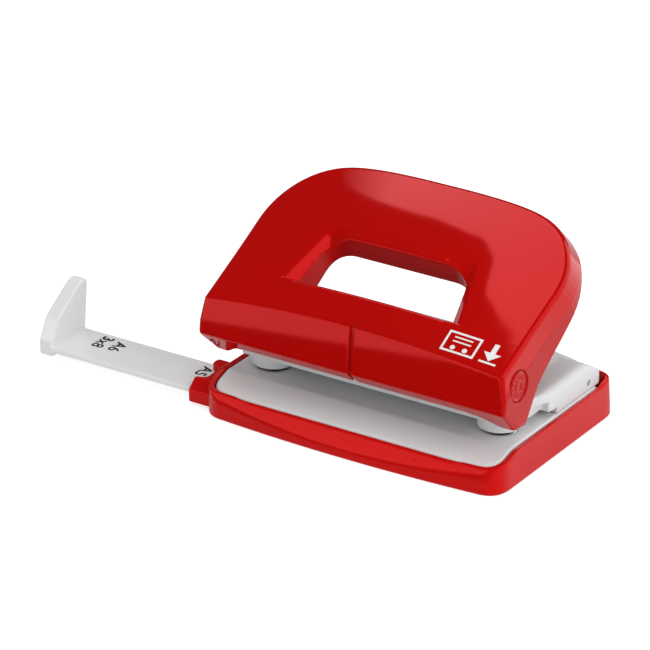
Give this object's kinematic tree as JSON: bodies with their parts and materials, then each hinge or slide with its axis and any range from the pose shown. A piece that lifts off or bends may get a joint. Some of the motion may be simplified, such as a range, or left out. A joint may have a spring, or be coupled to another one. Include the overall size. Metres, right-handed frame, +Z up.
{
  "type": "two-hole desk punch with paper guide",
  "caption": "Compact two-hole desk punch: glossy red lever handle with a hand window, grey base with paper slot, red chip tray and a grey sliding paper guide.",
  "frame": {"origin": "on the table plane, half-way between the two punches", "axes": "+X to the user's right along the line of holes, +Y away from the user, +Z up"},
  "size_m": [0.1713, 0.074, 0.0684],
  "materials": {
    "red_plastic": "moulded red plastic, glossy handle",
    "grey_plastic": "moulded pale grey plastic, satin",
    "bright_steel": "turned or stamped bright steel",
    "spring_steel": "drawn spring wire"
  },
  "bodies": {
    "tray": {"chip_tray": "red_plastic"},
    "base": {"base_plate": "grey_plastic", "upper_housing": "grey_plastic", "die_bush_left": "bright_steel", "die_bush_right": "bright_steel", "body_screw_1": "bright_steel", "body_screw_2": "bright_steel", "body_screw_3": "bright_steel", "body_screw_4": "bright_steel", "return_spring_left": "spring_steel", "return_spring_right": "spring_steel"},
    "handle": {"handle_shell": "red_plastic", "press_rod": "bright_steel", "pivot_pin_left": "bright_steel", "pivot_pin_right": "bright_steel", "pivot_cap_left": "red_plastic", "pivot_cap_right": "red_plastic"},
    "punch_left": {"punch_pin_left": "bright_steel", "retainer_left": "bright_steel"},
    "punch_right": {"punch_pin_right": "bright_steel", "retainer_right": "bright_steel"},
    "guide": {"guide_rail": "grey_plastic"}
  },
  "joints": [
    {"name": "base_lift", "type": "hinge", "parent": "tray", "child": "base", "pos_m": [0, 0.0446, 0.0103], "axis": [-1, 0, 0], "range_deg": [0, 40]},
    {"name": "handle_press", "type": "hinge", "parent": "base", "child": "handle", "pos_m": [0, -0.0123, 0.0332], "axis": [-1, 0, 0], "range_deg": [0, 27], "stiffness_Nm_per_rad": 0.31, "springref_deg": -9.17},
    {"name": "punch_left_slide", "type": "slide", "parent": "base", "child": "punch_left", "axis": [0, 0, -1], "range_m": [0, 0.006], "deforming": ["return_spring_left"]},
    {"name": "punch_right_slide", "type": "slide", "parent": "base", "child": "punch_right", "axis": [0, 0, -1], "range_m": [0, 0.006], "deforming": ["return_spring_right"]},
    {"name": "guide_slide", "type": "slide", "parent": "tray", "child": "guide", "axis": [-1, 0, 0], "range_m": [-0.043, 0.0434]}
  ],
  "couplings": [
    {"joint": "punch_left_slide", "follows": "handle_press", "m_per_rad": 0.01248},
    {"joint": "punch_right_slide", "follows": "handle_press", "m_per_rad": 0.01248}
  ]
}
